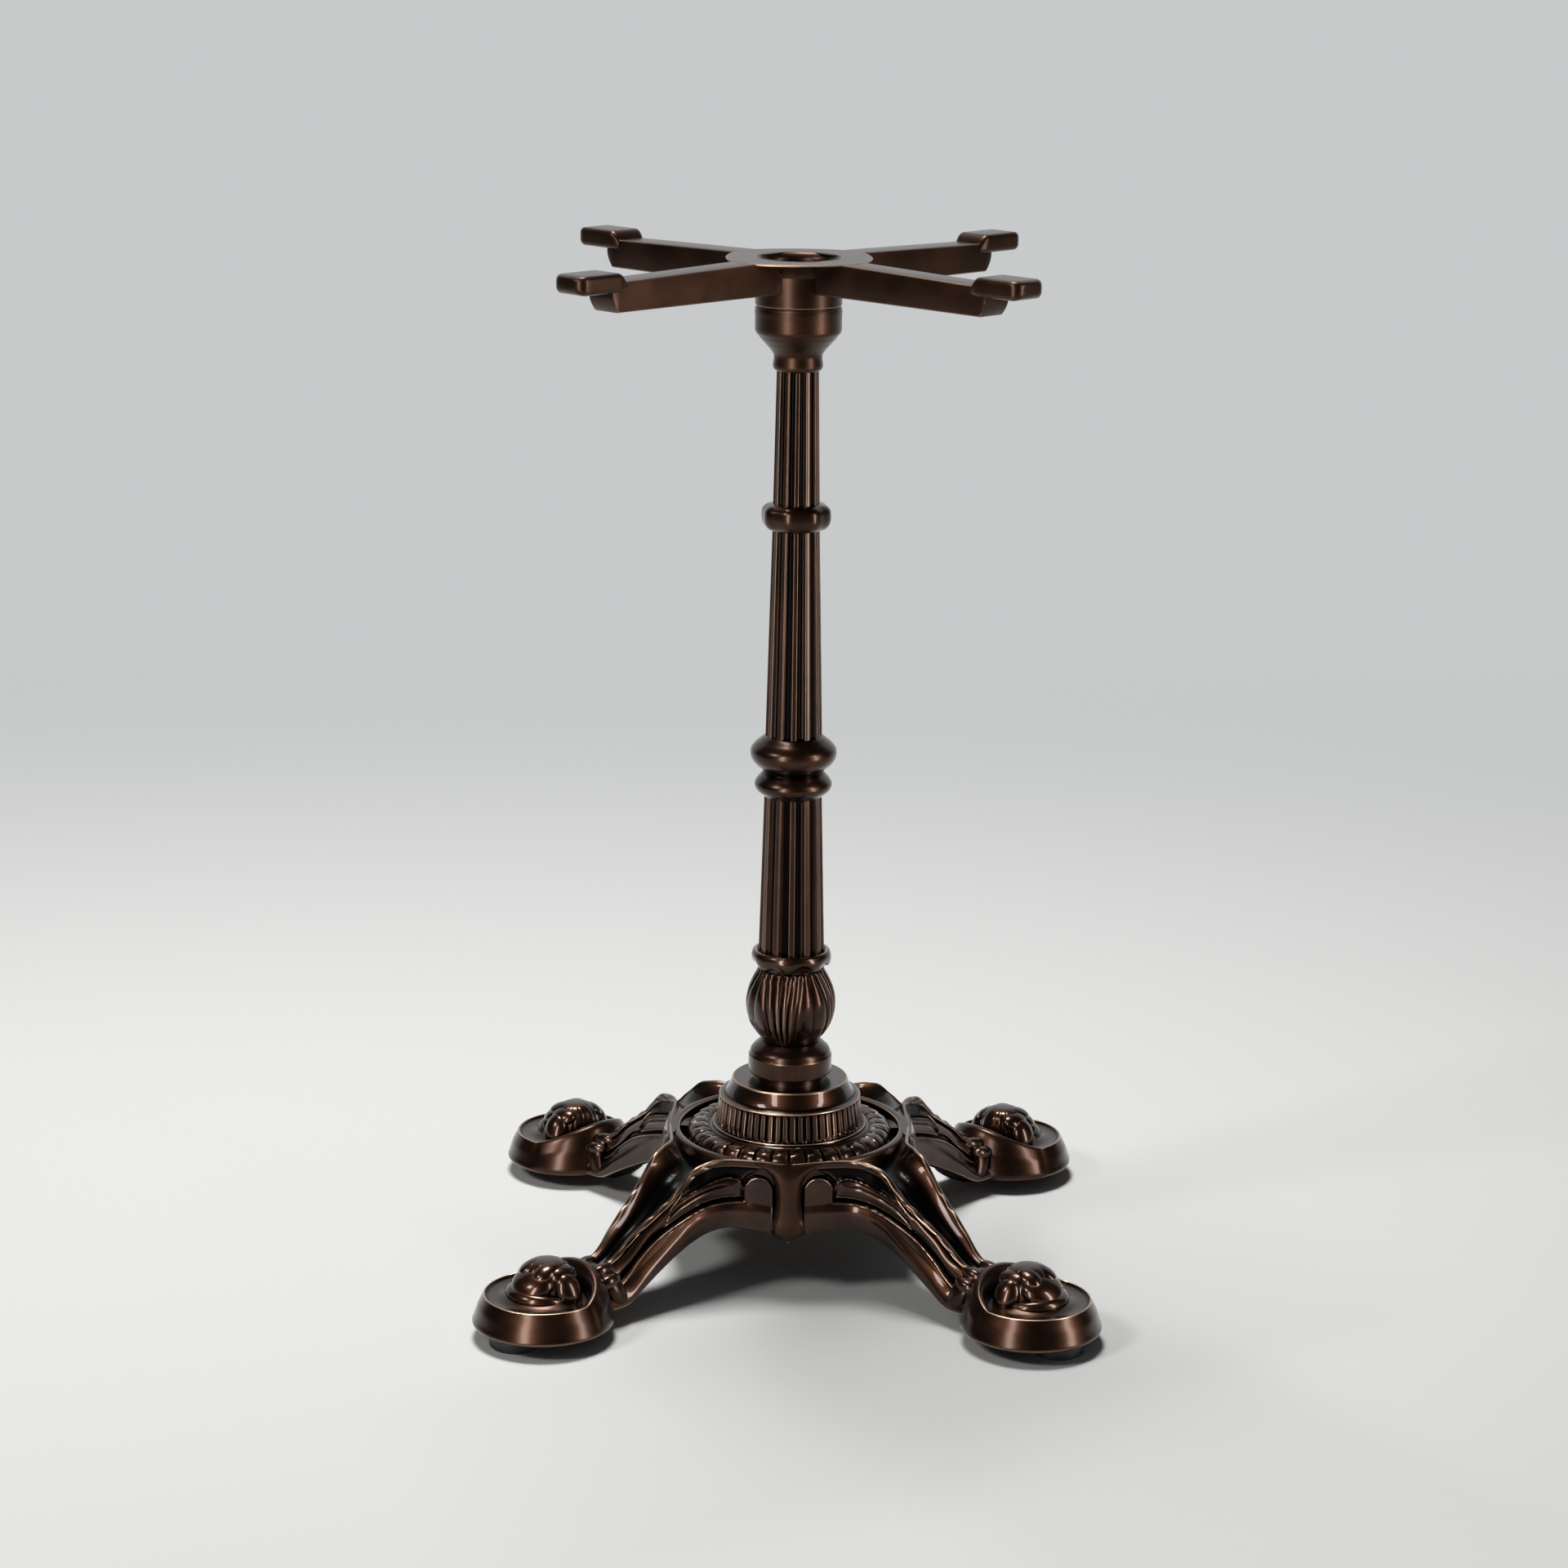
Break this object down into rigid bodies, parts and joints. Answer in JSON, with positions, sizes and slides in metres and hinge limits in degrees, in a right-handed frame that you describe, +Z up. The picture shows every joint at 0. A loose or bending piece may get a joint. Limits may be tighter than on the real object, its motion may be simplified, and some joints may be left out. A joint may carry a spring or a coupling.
{
  "type": "ornamental cast four-leg table base",
  "caption": "Ornamental cast table base: arched legs on levelling glides carry a fluted column and a cross-shaped spider for a table top.",
  "frame": {"origin": "on the floor, under the column axis, midway between the glides", "axes": "+Z up along the column; the legs and the spider's arms lie on the diagonals of X and Y; the picture looks along +Y"},
  "size_m": [0.4292, 0.4292, 0.72],
  "materials": {
    "bronzed_iron": "dark antique bronze lacquer, satin, rubbed lighter on the edges",
    "zinc_steel": "zinc plated",
    "glide_plastic": "black moulded nylon"
  },
  "bodies": {
    "stand": {"base_casting": "bronzed_iron", "plinth_collar": "bronzed_iron", "column": "bronzed_iron", "top_spider": "bronzed_iron", "tie_rod": "zinc_steel", "bottom_nut": "zinc_steel", "bottom_washer": "zinc_steel", "top_nut": "zinc_steel", "top_washer": "zinc_steel", "lock_nut_front_right": "zinc_steel", "lock_nut_back_right": "zinc_steel", "lock_nut_back_left": "zinc_steel", "lock_nut_front_left": "zinc_steel"},
    "glide_front_right": {"glide_pad_front_right": "glide_plastic", "glide_stud_front_right": "zinc_steel"},
    "glide_back_right": {"glide_pad_back_right": "glide_plastic", "glide_stud_back_right": "zinc_steel"},
    "glide_back_left": {"glide_pad_back_left": "glide_plastic", "glide_stud_back_left": "zinc_steel"},
    "glide_front_left": {"glide_pad_front_left": "glide_plastic", "glide_stud_front_left": "zinc_steel"}
  },
  "joints": [
    {"name": "level_front_right", "type": "slide", "parent": "stand", "child": "glide_front_right", "axis": [0, 0, 1], "range_m": [-0.006, 0]},
    {"name": "level_back_right", "type": "slide", "parent": "stand", "child": "glide_back_right", "axis": [0, 0, 1], "range_m": [-0.006, 0]},
    {"name": "level_back_left", "type": "slide", "parent": "stand", "child": "glide_back_left", "axis": [0, 0, 1], "range_m": [-0.006, 0]},
    {"name": "level_front_left", "type": "slide", "parent": "stand", "child": "glide_front_left", "axis": [0, 0, 1], "range_m": [-0.006, 0]}
  ]
}
